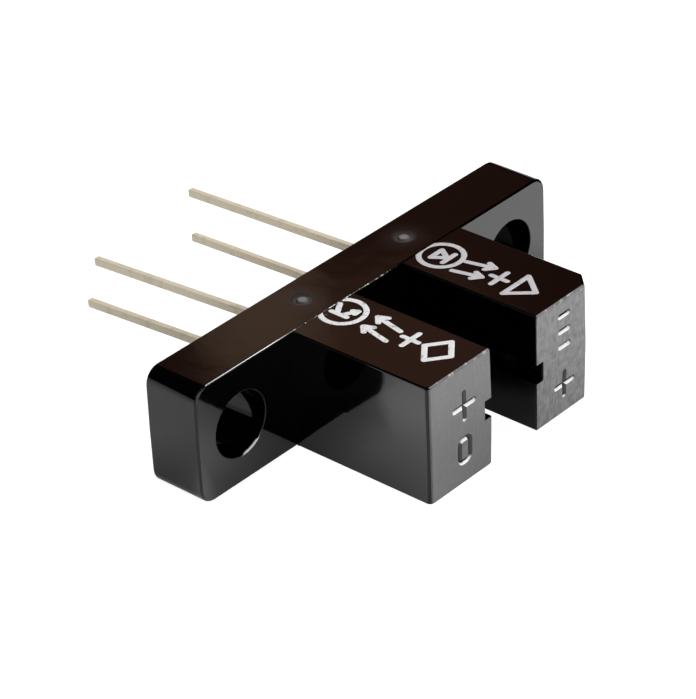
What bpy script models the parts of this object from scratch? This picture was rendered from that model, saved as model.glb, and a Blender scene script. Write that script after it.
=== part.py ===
"""Slotted optical switch: a flanged moulded housing with an emitter and a detector that face each other across a gap.

The origin is the centre of the flange's back face. X runs along the flange, the two towers point to -Y,
the leads to +Y, and the switch lies on its long side face. Lengths below are in millimetres.
"""

from math import atan2, cos, pi, radians, sin, tan

import bmesh
import bpy
from mathutils import Vector

MM = 0.001

# Flange
FLANGE_LENGTH = 24.5
FLANGE_THICKNESS = 3.0
HEIGHT = 6.0
FLANGE_CORNER = 0.75
HOLE_SPACING = 19.0
HOLE_DIAMETER = 3.2
HOLE_MOUTH = 0.05
GATE_SPACING = 7.1
GATE_INSET = 1.5
GATE_RING = 0.5
GATE_NUB = 0.24
GATE_DEPTH = 0.08

# Towers
DEPTH = 10.8
GAP = 3.2
TOWER_WIDTH = 4.33
TOWER_STEP = 0.03
TOWER_DROP = 0.1
TIP_WALL = 0.8
INNER_WALL = 0.75
OUTER_WALL = 0.55
SIDE_WALL = 0.55
ROOT_FILLET = 0.04
TIP_CORNER = 0.06
DETECTOR_CORNER = 0.24
EMITTER_CHAMFER = 0.7
EDGE_RADIUS = 0.09
DRAFT = radians(0.7)

# Light path
OPTICAL_INSET = 2.5
SLIT_HEIGHT = 1.0
SLIT_DEPTH = 0.5
SLIT_BACK = 1.6
WINDOW_LENGTH = 2.4
WINDOW_HEIGHT = 0.8

# Pockets that hold the two moulded packages
POCKET_CORNER = 0.3
POCKET_MOUTH = 0.25
RIB_HEIGHT = 0.15
RIB_WIDTH = 0.5
RIB_SPACING = 2.6
FIT = 0.05

# Packages
PACKAGE_LENGTH = 5.2
PACKAGE_TAPER = 0.12
PACKAGE_CORNER = 0.35
LENS_RADIUS = 1.1
LENS_HEIGHT = 0.45
CLEARANCE = 0.02

# Leads
LEAD_PITCH = 2.54
LEAD_WIDTH = 0.4
LEAD_METAL = 0.32
LEAD_PLANE = 0.82
LEAD_LENGTH = 12.5
DETECTOR_TRIM = 0.75
LEAD_EXIT = 0.6
DETECTOR_DROOP = radians(4.1)
EMITTER_DROOP = radians(2.6)
STUB_WIDTH = 0.8
STUB_LENGTH = 0.5
STUB_GAP = 1.1
PADDLE = 1.5
NECK = 0.8
POST_WIDTH = 0.64
POST_LENGTH = 1.0

# Dies and bond wires
EMITTER_DIE = 0.36
DETECTOR_DIE = 0.8
DIE_THICKNESS = 0.2
WIRE_RADIUS = 0.03
WIRE_LOOP = 0.25

ARC_STEPS = 5
GATE_STEPS = 20
HOLE_STEPS = 40
LENS_STEPS = 28
LENS_POLE = 0.04
WIRE_STEPS = 10
WIRE_SIDES = 8
OVERSHOOT = 0.4
MERGE = 0.001

# Derived places
HALF_HEIGHT = HEIGHT / 2
TOWER_TOP = HALF_HEIGHT - TOWER_STEP
TOWER_BOTTOM = -HALF_HEIGHT - TOWER_DROP
TOWER_HALF = (TOWER_TOP - TOWER_BOTTOM) / 2
MIDDLE = (TOWER_TOP + TOWER_BOTTOM) / 2
INNER_FACE = GAP / 2
OUTER_FACE = INNER_FACE + TOWER_WIDTH
POCKET_IN = INNER_FACE + INNER_WALL
POCKET_OUT = OUTER_FACE - OUTER_WALL
POCKET_END = -(DEPTH - TIP_WALL)
POCKET_HALF = TOWER_HALF - SIDE_WALL
PACKAGE_FACE = POCKET_IN + FIT + LENS_HEIGHT
PACKAGE_BACK = POCKET_OUT - RIB_HEIGHT - FIT
PACKAGE_HALF = POCKET_HALF - FIT
PACKAGE_TIP = POCKET_END + FIT
PACKAGE_REAR = PACKAGE_TIP + PACKAGE_LENGTH
LEAD_X = PACKAGE_FACE + LEAD_PLANE
METAL_FACE = LEAD_X - LEAD_METAL / 2
OPTICAL_Y = -(DEPTH - OPTICAL_INSET)
POST_Y = OPTICAL_Y + POST_LENGTH / 2

FINISHES = {
    "housing_black": ((0.022, 0.019, 0.018), 0.28, 0.0),
    "emitter_epoxy": ((0.10, 0.16, 0.26), 0.18, 0.0),
    "detector_epoxy": ((0.02, 0.02, 0.025), 0.2, 0.0),
    "lead_metal": ((0.70, 0.65, 0.54), 0.32, 1.0),
    "die": ((0.12, 0.12, 0.15), 0.25, 0.0),
    "bond_wire": ((0.80, 0.58, 0.22), 0.25, 1.0),
}


def material(slot):
    """The Principled material of one finish, made once."""
    found = bpy.data.materials.get(slot)
    if found:
        return found
    colour, roughness, metallic = FINISHES[slot]
    made = bpy.data.materials.new(slot)
    made.use_nodes = True
    shader = made.node_tree.nodes["Principled BSDF"]
    shader.inputs["Base Color"].default_value = (*colour, 1.0)
    shader.inputs["Roughness"].default_value = roughness
    shader.inputs["Metallic"].default_value = metallic
    return made


def loft(name, loops, slot=None):
    """One closed solid through a stack of outlines with as many points each, with flat ends."""
    mesh = bpy.data.meshes.new(name)
    shape = bmesh.new()
    rings = [[shape.verts.new(Vector(point) * MM) for point in loop] for loop in loops]
    for low, high in zip(rings, rings[1:]):
        for i, corner in enumerate(low):
            shape.faces.new((low[i - 1], corner, high[i], high[i - 1]))
    shape.faces.new(rings[0])
    shape.faces.new(rings[-1])
    bmesh.ops.recalc_face_normals(shape, faces=shape.faces)
    shape.to_mesh(mesh)
    shape.free()
    made = bpy.data.objects.new(name, mesh)
    bpy.context.scene.collection.objects.link(made)
    if slot:
        made.data.materials.append(material(slot))
    else:
        made.hide_render = True
        made.display_type = "WIRE"
    return made


def combine(target, tools, operation):
    """Joins each tool to the target, or cuts it away, and applies the result."""
    for tool in tools:
        step = target.modifiers.new(f"{operation.lower()} {tool.name}", "BOOLEAN")
        step.operation = operation
        step.object = tool
        step.solver = "EXACT"
    evaluated = target.evaluated_get(bpy.context.evaluated_depsgraph_get())
    finished = bpy.data.meshes.new_from_object(evaluated)
    target.modifiers.clear()
    target.data = finished
    for tool in tools:
        bpy.data.objects.remove(tool)


def shade(target, angle=radians(30)):
    """Smooth shading that keeps the moulded corners crisp."""
    target.data.shade_smooth()
    target.data.set_sharp_from_angle(angle=angle)


def arc(centre, radius, start, end, steps=ARC_STEPS):
    """Points of a circular arc in a plane, from one angle in degrees to another, both ends included."""
    angles = [radians(start + (end - start) * i / steps) for i in range(steps + 1)]
    return [(centre[0] + radius * cos(a), centre[1] + radius * sin(a)) for a in angles]


def circle(centre, radius, steps):
    """Points of a full circle in a plane."""
    return arc(centre, radius, 0, 360, steps)[:-1]


def rounded_box(low, high, corner, inset=0.0):
    """Rectangle with round corners between two points of a plane, drawn in by the inset on every side."""
    left, bottom = low[0] + inset, low[1] + inset
    right, top = high[0] - inset, high[1] - inset
    radius = min(corner, 0.49 * (right - left), 0.49 * (top - bottom))
    return (
        arc((right - radius, bottom + radius), radius, -90, 0)
        + arc((right - radius, top - radius), radius, 0, 90)
        + arc((left + radius, top - radius), radius, 90, 180)
        + arc((left + radius, bottom + radius), radius, 180, 270)
    )


def edge_round(radius, steps=2):
    """Inset and depth pairs of a quarter-round edge, from the end face down to the side."""
    angles = [pi / 2 * i / steps for i in range(steps + 1)]
    return [(radius * (1 - sin(a)), radius * (1 - cos(a))) for a in angles]


def along_x(outline, x, side=1):
    """Stands an outline of Y and Z points at a place along X."""
    return [(side * x, y, z) for y, z in outline]


def along_y(outline, y, side=1):
    """Stands an outline of X and Z points at a place along Y."""
    return [(side * x, y, z) for x, z in outline]


def flange_outline(inset):
    """Front view of the flange: round corners, and ends that lean out to the parting line at mid-height."""
    tall = HALF_HEIGHT - inset
    straight = tall - FLANGE_CORNER
    widest = FLANGE_LENGTH / 2 - inset
    wide = widest - straight * tan(DRAFT)
    right = (
        arc((wide - FLANGE_CORNER, -straight), FLANGE_CORNER, -90, 0)
        + [(widest, 0.0)]
        + arc((wide - FLANGE_CORNER, straight), FLANGE_CORNER, 0, 90)
    )
    return right + [(-x, -z) for x, z in right]


def make_flange():
    """The plate that takes the two screws, rounded along its front and back edges."""
    ends = edge_round(EDGE_RADIUS)
    back = [along_y(flange_outline(inset), -depth) for inset, depth in ends]
    front = [along_y(flange_outline(inset), depth - FLANGE_THICKNESS) for inset, depth in reversed(ends)]
    return loft("housing", back + front, "housing_black")


def tower_outline(inset, anchor, corner, steps):
    """Plan view of a tower at +X, from its anchor inside the flange and filleted root to the corners of its tip."""
    inner, outer, tip = INNER_FACE + inset, OUTER_FACE - inset, inset - DEPTH
    root = -FLANGE_THICKNESS
    flare = ROOT_FILLET
    return (
        [(inner - flare, anchor)]
        + arc((inner - flare, root - flare), flare, 90, 0)
        + arc((inner + TIP_CORNER, tip + TIP_CORNER), TIP_CORNER, 180, 270)
        + arc((outer - corner, tip + corner), corner, 270, 360, steps)
        + arc((outer + flare, root - flare), flare, 180, 90)
        + [(outer + flare, anchor)]
    )


def make_tower(side, corner, steps):
    """One tower, widest at the parting line and drawn in by the draft towards its two side faces.

    Its low side stands proud of the flange, so it is anchored there only a little behind the flange's front.
    """
    deep, shallow = -FLANGE_THICKNESS / 2, TOWER_DROP / 2 - FLANGE_THICKNESS
    rounded = [(TOWER_HALF - depth, inset) for inset, depth in edge_round(EDGE_RADIUS)]
    levels = [(-z, inset, shallow) for z, inset in rounded] + [(0.0, 0.0, deep)]
    levels += [(z, inset, deep) for z, inset in reversed(rounded)]
    loops = []
    for z, inset, anchor in levels:
        outline = tower_outline(inset + abs(z) * tan(DRAFT), anchor, corner, steps)
        loops.append([(side * x, y, MIDDLE + z) for x, y in outline])
    return loft("tower", loops)


def make_hole(side):
    """A screw hole with a small round at both mouths."""
    radius = HOLE_DIAMETER / 2
    centre = (side * HOLE_SPACING / 2, 0.0)
    mouth = [(HOLE_MOUTH, -OVERSHOOT)] + edge_round(HOLE_MOUTH)
    loops = []
    for grow, depth in mouth:
        loops.append(along_y(circle(centre, radius + grow, HOLE_STEPS), -depth))
    for grow, depth in reversed(mouth):
        loops.append(along_y(circle(centre, radius + grow, HOLE_STEPS), depth - FLANGE_THICKNESS))
    return loft("hole", loops)


def make_pocket(side):
    """The deep pocket of one tower, open at the flange's back face, with a lead-in at its mouth."""
    low, high = (POCKET_IN, MIDDLE - POCKET_HALF), (POCKET_OUT, MIDDLE + POCKET_HALF)
    levels = (
        (OVERSHOOT, -POCKET_MOUTH - OVERSHOOT),
        (-POCKET_MOUTH, 0.0),
        (POCKET_END, 0.0),
    )
    return loft("pocket", [along_y(rounded_box(low, high, POCKET_CORNER, o), y, side) for y, o in levels])


def make_rib(side, place):
    """A crush rib on a pocket's outer wall, sloped at the end where the package goes in."""
    half = RIB_WIDTH / 2
    centre = MIDDLE + place * RIB_SPACING / 2
    base, crest = POCKET_OUT + OUTER_WALL / 2, POCKET_OUT - RIB_HEIGHT
    full = [(base, centre - half), (crest, centre - half / 2), (crest, centre + half / 2), (base, centre + half)]
    low = [(max(x, POCKET_OUT + CLEARANCE), z) for x, z in full]
    start = PACKAGE_REAR + half
    levels = ((POCKET_END - TIP_WALL / 2, full), (PACKAGE_REAR - half, full), (start, low))
    return loft("rib", [along_y(outline, y, side) for y, outline in levels])


def slot_outline(start, end, height):
    """Side view of a slot along Y with its back end round."""
    half = height / 2
    back = [(end - half + y, MIDDLE + z) for y, z in arc((0.0, 0.0), half, 90, -90, 2 * ARC_STEPS)]
    return [(start, MIDDLE - half), (start, MIDDLE + half)] + back


def make_slit(side):
    """The aperture slit in a tower's inner face, open at the tip."""
    outline = slot_outline(-DEPTH - OVERSHOOT, OPTICAL_Y + SLIT_BACK, SLIT_HEIGHT)
    return loft("slit", [along_x(outline, x, side) for x in (INNER_FACE - OVERSHOOT, INNER_FACE + SLIT_DEPTH)])


def make_window(side):
    """The opening from the slit's floor into the pocket, in front of the lens."""
    half = WINDOW_LENGTH / 2
    low, high = (OPTICAL_Y - half, MIDDLE - WINDOW_HEIGHT / 2), (OPTICAL_Y + half, MIDDLE + WINDOW_HEIGHT / 2)
    outline = rounded_box(low, high, WINDOW_HEIGHT / 2)
    places = (INNER_FACE + SLIT_DEPTH / 2, POCKET_IN + FIT / 2)
    return loft("window", [along_x(outline, x, side) for x in places])


def make_gate(side):
    """Ring-shaped sink round the mould's gate, on the flange's upper side above one pocket."""
    centre = (side * GATE_SPACING / 2, -GATE_INSET)
    top = HALF_HEIGHT
    slope = GATE_DEPTH / 2
    shape = bmesh.new()
    section = [
        (GATE_NUB, top + OVERSHOOT),
        (GATE_RING + slope, top + OVERSHOOT),
        (GATE_RING + slope, top),
        (GATE_RING - slope, top - GATE_DEPTH),
        (GATE_NUB + slope, top - GATE_DEPTH),
        (GATE_NUB, top),
    ]
    points = [shape.verts.new(Vector((centre[0] + r, centre[1], z)) * MM) for r, z in section]
    shape.faces.new(points)
    bmesh.ops.spin(
        shape,
        geom=shape.faces[:] + shape.edges[:] + shape.verts[:],
        cent=Vector((*centre, top)) * MM,
        axis=(0.0, 0.0, 1.0),
        angle=2 * pi,
        steps=GATE_STEPS,
        use_merge=True,
    )
    bmesh.ops.delete(shape, geom=[f for f in shape.faces if len(f.verts) == len(section)], context="FACES_ONLY")
    bmesh.ops.remove_doubles(shape, verts=shape.verts, dist=MERGE * MM)
    bmesh.ops.recalc_face_normals(shape, faces=shape.faces)
    mesh = bpy.data.meshes.new("gate")
    shape.to_mesh(mesh)
    shape.free()
    made = bpy.data.objects.new("gate", mesh)
    made.hide_render = True
    made.display_type = "WIRE"
    bpy.context.scene.collection.objects.link(made)
    return made


def make_housing():
    """The one-piece moulding: flange, two towers, holes, pockets with ribs, slits and windows."""
    housing = make_flange()
    combine(housing, [make_tower(-1, DETECTOR_CORNER, ARC_STEPS), make_tower(1, EMITTER_CHAMFER, 1)], "UNION")
    cutters = []
    for side in (-1, 1):
        cutters += [make_hole(side), make_pocket(side), make_slit(side), make_window(side), make_gate(side)]
    combine(housing, cutters, "DIFFERENCE")
    combine(housing, [make_rib(side, place) for side in (-1, 1) for place in (-1, 1)], "UNION")
    shade(housing)


def lead_path(grow, end, droop):
    """Side view of a lead's centre line as far as a place along Y: straight, then bent down behind the flange."""
    half = LEAD_WIDTH / 2 + grow
    if end <= LEAD_EXIT:
        return [(end, half)], [(end, -half)]
    fall = (end - LEAD_EXIT) * tan(droop)
    lean = half * tan(droop / 2)
    top = [(LEAD_EXIT + lean, half), (end + half * sin(droop), half - fall)]
    bottom = [(LEAD_EXIT - lean, -half), (end - half * sin(droop), -half - fall)]
    return top, bottom


def stub_edge(sign, grow):
    """The dam-bar stub on one edge of a lead, between the package and the flange's back face."""
    start, half, wide = PACKAGE_REAR + STUB_GAP, LEAD_WIDTH / 2 + grow, STUB_WIDTH / 2 + grow
    end = start + STUB_LENGTH
    return [(start, sign * half), (start, sign * wide), (end, sign * wide), (end, sign * half)]


def lead_outline(row, head, grow, end, droop):
    """Side view of a lead on the upper (+1) or lower (-1) row, with its head inside the package."""
    centre = MIDDLE + row * LEAD_PITCH / 2
    top, bottom = lead_path(grow, end, droop)
    if end > PACKAGE_REAR + STUB_GAP + STUB_LENGTH:
        top = stub_edge(1, grow) + top
        bottom = stub_edge(-1, grow) + bottom
    top = [(y, centre + z) for y, z in top]
    bottom = [(y, centre + z) for y, z in bottom]
    shank = LEAD_WIDTH / 2 + grow
    if head == "paddle":
        half = PADDLE / 2 + grow
        rear, neck = OPTICAL_Y + half, OPTICAL_Y + half + NECK
        far, near = MIDDLE - row * half, MIDDLE + row * half
        inner = near - row * (LEAD_WIDTH + 2 * grow)
        front = OPTICAL_Y - half
        heads = [(neck, centre - row * shank), (rear, inner), (rear, far), (front, far), (front, near),
                 (rear, near), (neck, centre + row * shank)]
    else:
        half = POST_WIDTH / 2 + grow
        rear, front = POST_Y + POST_LENGTH / 2 + grow, POST_Y - POST_LENGTH / 2 - grow
        heads = [(rear, centre - row * shank), (rear, centre - row * half), (front, centre - row * half),
                 (front, centre + row * half), (rear, centre + row * half), (rear, centre + row * shank)]
    if row > 0:
        return bottom[::-1] + heads + top
    return top[::-1] + heads + bottom


def make_lead(name, side, row, head, droop, length, grow=0.0, slot="lead_metal"):
    """A flat lead punched from strip, its head inside the package."""
    outline = lead_outline(row, head, grow, length, droop)
    half = LEAD_METAL / 2 + grow
    lead = loft(name, [along_x(outline, x, side) for x in (LEAD_X - half, LEAD_X + half)], slot)
    if slot:
        shade(lead)
    return lead


def make_die(name, side, size, grow=0.0, slot="die"):
    """The square die on its paddle, on the side that faces the gap."""
    half = size / 2 + grow
    low, high = (OPTICAL_Y - half, MIDDLE - half), (OPTICAL_Y + half, MIDDLE + half)
    outline = [low, (high[0], low[1]), high, (low[0], high[1])]
    seat = METAL_FACE - CLEARANCE + grow
    face = METAL_FACE - CLEARANCE - DIE_THICKNESS - grow
    return loft(name, [along_x(outline, x, side) for x in (face, seat)], slot)


def make_wire(name, side, row, grow=0.0, slot="bond_wire"):
    """The bond wire: half an ellipse from the die's face to the post, as a tube that stands upright at both ends."""
    start = Vector((METAL_FACE - 2 * CLEARANCE - DIE_THICKNESS + grow, OPTICAL_Y, MIDDLE))
    finish = Vector((METAL_FACE - CLEARANCE + grow, POST_Y, MIDDLE + row * LEAD_PITCH / 2))
    run = finish - start
    across = Vector((0.0, run.y, run.z)).normalized()
    beside = Vector((0.0, -across.z, across.y))
    loops = []
    for i in range(WIRE_STEPS + 1):
        turn = pi * i / WIRE_STEPS
        share = (1 - cos(turn)) / 2
        centre = start + run * share - Vector((WIRE_LOOP * sin(turn), 0.0, 0.0))
        heading = Vector((run.x * sin(turn) / 2 - WIRE_LOOP * cos(turn), run.y * sin(turn) / 2, run.z * sin(turn) / 2))
        upright = heading.cross(beside).normalized()
        ring = circle((0.0, 0.0), WIRE_RADIUS + grow, WIRE_SIDES)
        points = [centre + beside * a + upright * b for a, b in ring]
        loops.append([(side * p.x, p.y, p.z) for p in points])
    return loft(name, loops, slot)


def make_package(name, side, slot, cutters):
    """A moulded side-looking package: body tapered from the plane of its leads, and a domed lens."""
    low, high = (PACKAGE_TIP, MIDDLE - PACKAGE_HALF), (PACKAGE_REAR, MIDDLE + PACKAGE_HALF)
    levels = ((PACKAGE_FACE, PACKAGE_TAPER), (LEAD_X, 0.0), (PACKAGE_BACK, PACKAGE_TAPER))
    body = loft(name, [along_x(rounded_box(low, high, PACKAGE_CORNER, o), x, side) for x, o in levels], slot)
    sphere = (LENS_RADIUS ** 2 + LENS_HEIGHT ** 2) / (2 * LENS_HEIGHT)
    rise = sphere - LENS_HEIGHT
    tilt = atan2(LENS_RADIUS, rise)
    loops = [along_x(circle((OPTICAL_Y, MIDDLE), LENS_RADIUS, LENS_STEPS), PACKAGE_FACE + LENS_HEIGHT / 2, side)]
    for i in range(ARC_STEPS + 1):
        turn = tilt * (1 - (1 - LENS_POLE) * i / ARC_STEPS)
        ring = circle((OPTICAL_Y, MIDDLE), sphere * sin(turn), LENS_STEPS)
        loops.append(along_x(ring, PACKAGE_FACE + rise - sphere * cos(turn), side))
    combine(body, [loft("lens", loops)], "UNION")
    combine(body, cutters, "DIFFERENCE")
    shade(body)


def make_sensor(side, names, size, droop, trim, slot):
    """One tower's contents: two leads, die, bond wire and the package moulded round their heads."""
    package, paddle_lead, post_lead, die, wire = names
    cutters = []
    for name, row, head, shorter in ((paddle_lead, -1, "paddle", 0.0), (post_lead, 1, "post", trim)):
        make_lead(name, side, row, head, droop, LEAD_LENGTH - shorter)
        cutters.append(make_lead("way", side, row, head, 0.0, PACKAGE_REAR + OVERSHOOT, CLEARANCE, None))
    make_die(die, side, size)
    cutters.append(make_die("way", side, size, CLEARANCE, None))
    make_wire(wire, side, 1)
    cutters.append(make_wire("way", side, 1, CLEARANCE, None))
    make_package(package, side, slot, cutters)


def main():
    """Clears the scene and makes every piece."""
    for old in list(bpy.data.objects):
        bpy.data.objects.remove(old)
    make_housing()
    make_sensor(
        -1,
        ("detector_package", "detector_collector_lead", "detector_emitter_lead", "detector_die", "detector_wire"),
        DETECTOR_DIE, DETECTOR_DROOP, DETECTOR_TRIM, "detector_epoxy",
    )
    make_sensor(
        1,
        ("emitter_package", "emitter_cathode_lead", "emitter_anode_lead", "emitter_die", "emitter_wire"),
        EMITTER_DIE, EMITTER_DROOP, 0.0, "emitter_epoxy",
    )


main()
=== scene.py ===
"""Looks of the slotted optical switch: black moulding with matte tips, printed tower tops and tinned leads.

Lengths are in millimetres until a mesh or a node is written. The frame is the solid model's: X runs along the
flange, the towers point to -Y, the leads to +Y, and the switch lies on its long side face.
"""

import logging
from collections.abc import Callable
from dataclasses import dataclass, field
from enum import Enum
from functools import cached_property, reduce
from math import pi, radians, tan

import bmesh
import bpy
import numpy as np
from mathutils import Matrix, Vector


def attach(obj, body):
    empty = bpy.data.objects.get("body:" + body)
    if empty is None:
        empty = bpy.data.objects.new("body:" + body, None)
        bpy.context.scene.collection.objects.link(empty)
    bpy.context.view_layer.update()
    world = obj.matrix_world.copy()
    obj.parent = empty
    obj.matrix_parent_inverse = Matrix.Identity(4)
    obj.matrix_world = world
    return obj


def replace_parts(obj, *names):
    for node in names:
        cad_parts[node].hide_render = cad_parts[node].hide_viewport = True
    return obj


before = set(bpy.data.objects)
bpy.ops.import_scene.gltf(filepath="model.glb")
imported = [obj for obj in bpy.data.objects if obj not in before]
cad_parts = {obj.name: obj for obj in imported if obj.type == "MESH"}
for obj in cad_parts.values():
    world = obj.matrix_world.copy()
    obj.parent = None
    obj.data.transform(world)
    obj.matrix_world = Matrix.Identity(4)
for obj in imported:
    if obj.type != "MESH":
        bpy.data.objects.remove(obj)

MM = 0.001
MERGE = 0.0005
LOG = logging.getLogger("slotted_switch")

Array = np.ndarray
Colour = tuple[float, float, float]
Point = tuple[float, float, float]
Pair = tuple[float, float]
Piece = bpy.types.Object
Material = bpy.types.Material
Node = bpy.types.Node
Socket = bpy.types.NodeSocket
Axes = tuple[Socket, Socket, Socket]
Outputs = bpy.types.bpy_prop_collection
Tree = bpy.types.NodeTree
Stroke = tuple[Array, bool]
Lift = Callable[[Array, Array], Array]


class Side(Enum):
    """The two ends of the flange, by the sign of X."""

    DETECTOR = -1
    EMITTER = 1


# Nodes


@dataclass(frozen=True)
class Step:
    """A smooth step of a value: the start up to low, the end from high, eased between them."""

    low: float
    high: float
    start: float = 0.0
    end: float = 1.0


@dataclass(frozen=True)
class Nodes:
    """A node tree, and the few kinds of node that the finishes are made of."""

    tree: Tree

    def put(self, value: object, socket: Socket) -> None:
        """Feeds one input.

        Args:
            value: An output socket, a colour or a number.
            socket: The input.
        """
        if isinstance(value, Socket):
            self.tree.links.new(value, socket)
        elif isinstance(value, tuple):
            socket.default_value = (*value, 1.0)
        else:
            socket.default_value = value

    def fill(self, node: Node, **values: object) -> Node:
        """Feeds a node's inputs.

        Args:
            node: The node.
            values: Sockets, colours or numbers by the input's name, with spaces as underscores.

        Returns:
            The node.
        """
        for key, value in values.items():
            self.put(value, node.inputs[key.replace("_", " ")])
        return node

    def add(self, kind: str, **settings: object) -> Node:
        """Adds a node.

        Args:
            kind: Its type name, without the first word that they all share.
            settings: Its settings by attribute name.

        Returns:
            The node.
        """
        node = self.tree.nodes.new("ShaderNode" + kind)
        for key, value in settings.items():
            setattr(node, key, value)
        return node

    def maths(self, operation: str, a: object, b: object = 0.0, clamp: bool = False) -> Socket:
        """One Math node.

        Args:
            operation: The Math operation.
            a: First value, a number or an output socket.
            b: Second value, a number or an output socket.
            clamp: Whether the result is held between 0 and 1.

        Returns:
            The result.
        """
        node = self.add("Math", operation=operation, use_clamp=clamp)
        for place, value in enumerate((a, b)):
            self.put(value, node.inputs[place])
        return node.outputs[0]

    def plus(self, *values: object) -> Socket:
        """The sum of the values."""
        return reduce(lambda a, b: self.maths("ADD", a, b), values)

    def minus(self, a: object, b: object) -> Socket:
        """The first value less the second."""
        return self.maths("SUBTRACT", a, b)

    def times(self, *values: object) -> Socket:
        """The product of the values."""
        return reduce(lambda a, b: self.maths("MULTIPLY", a, b), values)

    def most(self, *values: object) -> Socket:
        """The greatest of the values."""
        return reduce(lambda a, b: self.maths("MAXIMUM", a, b), values)

    def size(self, value: Socket) -> Socket:
        """The value without its sign."""
        return self.maths("ABSOLUTE", value)

    def far(self, a: Socket, b: Socket) -> Socket:
        """The root of the sum of two squares."""
        return self.maths("SQRT", self.plus(self.maths("POWER", a, 2.0), self.maths("POWER", b, 2.0)))

    def ramp(self, value: Socket, step: Step, unit: float = 1.0) -> Socket:
        """Takes a smooth step of a value.

        Args:
            value: The value.
            step: The step.
            unit: What the step's low and high are given in.

        Returns:
            The result.
        """
        node = self.add("MapRange", interpolation_type="SMOOTHSTEP")
        for place, number in enumerate((value, step.low * unit, step.high * unit, step.start, step.end)):
            self.put(number, node.inputs[place])
        return node.outputs[0]

    def along(self, length: Socket, step: Step) -> Socket:
        """A smooth step of a length, with the step in millimetres."""
        return self.ramp(length, step, MM)

    def by_end(self, x: Socket, detector: float, emitter: float) -> Socket:
        """One value on the detector's half and another on the emitter's."""
        return self.along(x, Step(-1.0, 1.0, detector, emitter))

    def blend(self, share: object, first: object, second: object) -> Socket:
        """A colour between two.

        Args:
            share: Share of the second, a number or an output socket.
            first: A colour or an output socket.
            second: A colour or an output socket.

        Returns:
            The colour.
        """
        node = self.add("Mix", data_type="RGBA")
        for place, value in ((0, share), (6, first), (7, second)):
            self.put(value, node.inputs[place])
        return node.outputs[2]

    def split(self, vector: Socket) -> Axes:
        """The vector's X, Y and Z."""
        return tuple(self.fill(self.add("SeparateXYZ"), Vector=vector).outputs)

    def drawn(self, where: Socket, scale: Point, turn: Point = (0.0, 0.0, 0.0)) -> Socket:
        """Coordinates that draw a pattern out.

        Args:
            where: The coordinates.
            scale: Scale along each axis: the smaller, the longer the pattern there.
            turn: Turn about each axis, in radians.

        Returns:
            The new coordinates.
        """
        node = self.fill(self.add("Mapping"), Vector=where)
        node.inputs["Rotation"].default_value = turn
        node.inputs["Scale"].default_value = scale
        return node.outputs[0]

    def against(self, operation: str, vector: Socket, fixed: Vector) -> Socket:
        """Measures a vector against a fixed one.

        Args:
            operation: The Vector Math operation.
            vector: The vector.
            fixed: The fixed one.

        Returns:
            The number.
        """
        node = self.add("VectorMath", operation=operation)
        self.put(vector, node.inputs[0])
        node.inputs[1].default_value = fixed
        return node.outputs["Value"]

    def noise(self, where: Socket, **values: object) -> Socket:
        """A noise of the coordinates, around one half."""
        return self.fill(self.add("TexNoise"), Vector=where, **values).outputs[0]

    def effect(self, shared: Tree, where: Socket, **values: float) -> Outputs:
        """A shared effect at the coordinates, with its input values by name: its outputs."""
        return self.fill(self.add("Group", node_tree=shared), Vector=where, **values).outputs

    def bump(self, height: Socket, depth: float) -> Socket:
        """The normal of a relief, with its depth in millimetres."""
        return self.fill(self.add("Bump"), Strength=1.0, Distance=depth * MM, Height=height).outputs[0]


def new_material(name: str) -> tuple[Material, Nodes, Node, Socket]:
    """Makes a node material.

    Args:
        name: The material's name.

    Returns:
        The material, its nodes, its Principled shader and the object's coordinates.
    """
    made = bpy.data.materials.new(name)
    made.use_nodes = True
    nodes = Nodes(made.node_tree)
    return made, nodes, made.node_tree.nodes["Principled BSDF"], nodes.add("TexCoord").outputs["Object"]


def new_effect(name: str, inputs: dict[str, float], outputs: tuple[str, ...]) -> tuple[Nodes, Node, Node]:
    """Makes a shader node group with a Vector input and named numbers.

    Args:
        name: The group's name.
        inputs: Default of each input after Vector.
        outputs: The outputs' names.

    Returns:
        The group's nodes, its input node and its output node.
    """
    tree = bpy.data.node_groups.new(name, "ShaderNodeTree")
    tree.interface.new_socket("Vector", in_out="INPUT", socket_type="NodeSocketVector")
    for key, value in inputs.items():
        tree.interface.new_socket(key, in_out="INPUT", socket_type="NodeSocketFloat").default_value = value
    for key in outputs:
        tree.interface.new_socket(key, in_out="OUTPUT", socket_type="NodeSocketFloat")
    return Nodes(tree), tree.nodes.new("NodeGroupInput"), tree.nodes.new("NodeGroupOutput")


def grain_effect() -> Tree:
    """Spark-eroded grain: noise in octaves, as a height from 0 to 1 and a mask of its peaks.

    Returns:
        The node group.
    """
    n, inside, outside = new_effect("moulded grain", {"Scale": 9000.0, "Contrast": 1.0}, ("Height", "Peaks"))
    given = inside.outputs
    rough = n.noise(given["Vector"], Scale=given["Scale"], Detail=3.0, Roughness=0.62)
    height = n.maths("ADD", n.times(n.minus(rough, 0.5), given["Contrast"]), 0.5, True)
    n.fill(outside, Height=height, Peaks=n.ramp(height, Step(0.58, 0.72)))
    return n.tree


def dust_effect() -> Tree:
    """Dust: round specks at the nearest points of a cell pattern, kept only where a wide noise is high.

    Returns:
        The node group.
    """
    n, inside, outside = new_effect("fine dust", {"Scale": 700.0, "Size": 0.06}, ("Specks",))
    given = inside.outputs
    cells = n.fill(n.add("TexVoronoi"), Vector=given["Vector"], Scale=given["Scale"])
    near = n.maths("LESS_THAN", cells.outputs["Distance"], given["Size"])
    wide = n.noise(given["Vector"], Scale=520.0, Detail=2.0)
    n.fill(outside, Specks=n.times(near, n.ramp(wide, Step(0.56, 0.62))))
    return n.tree


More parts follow.
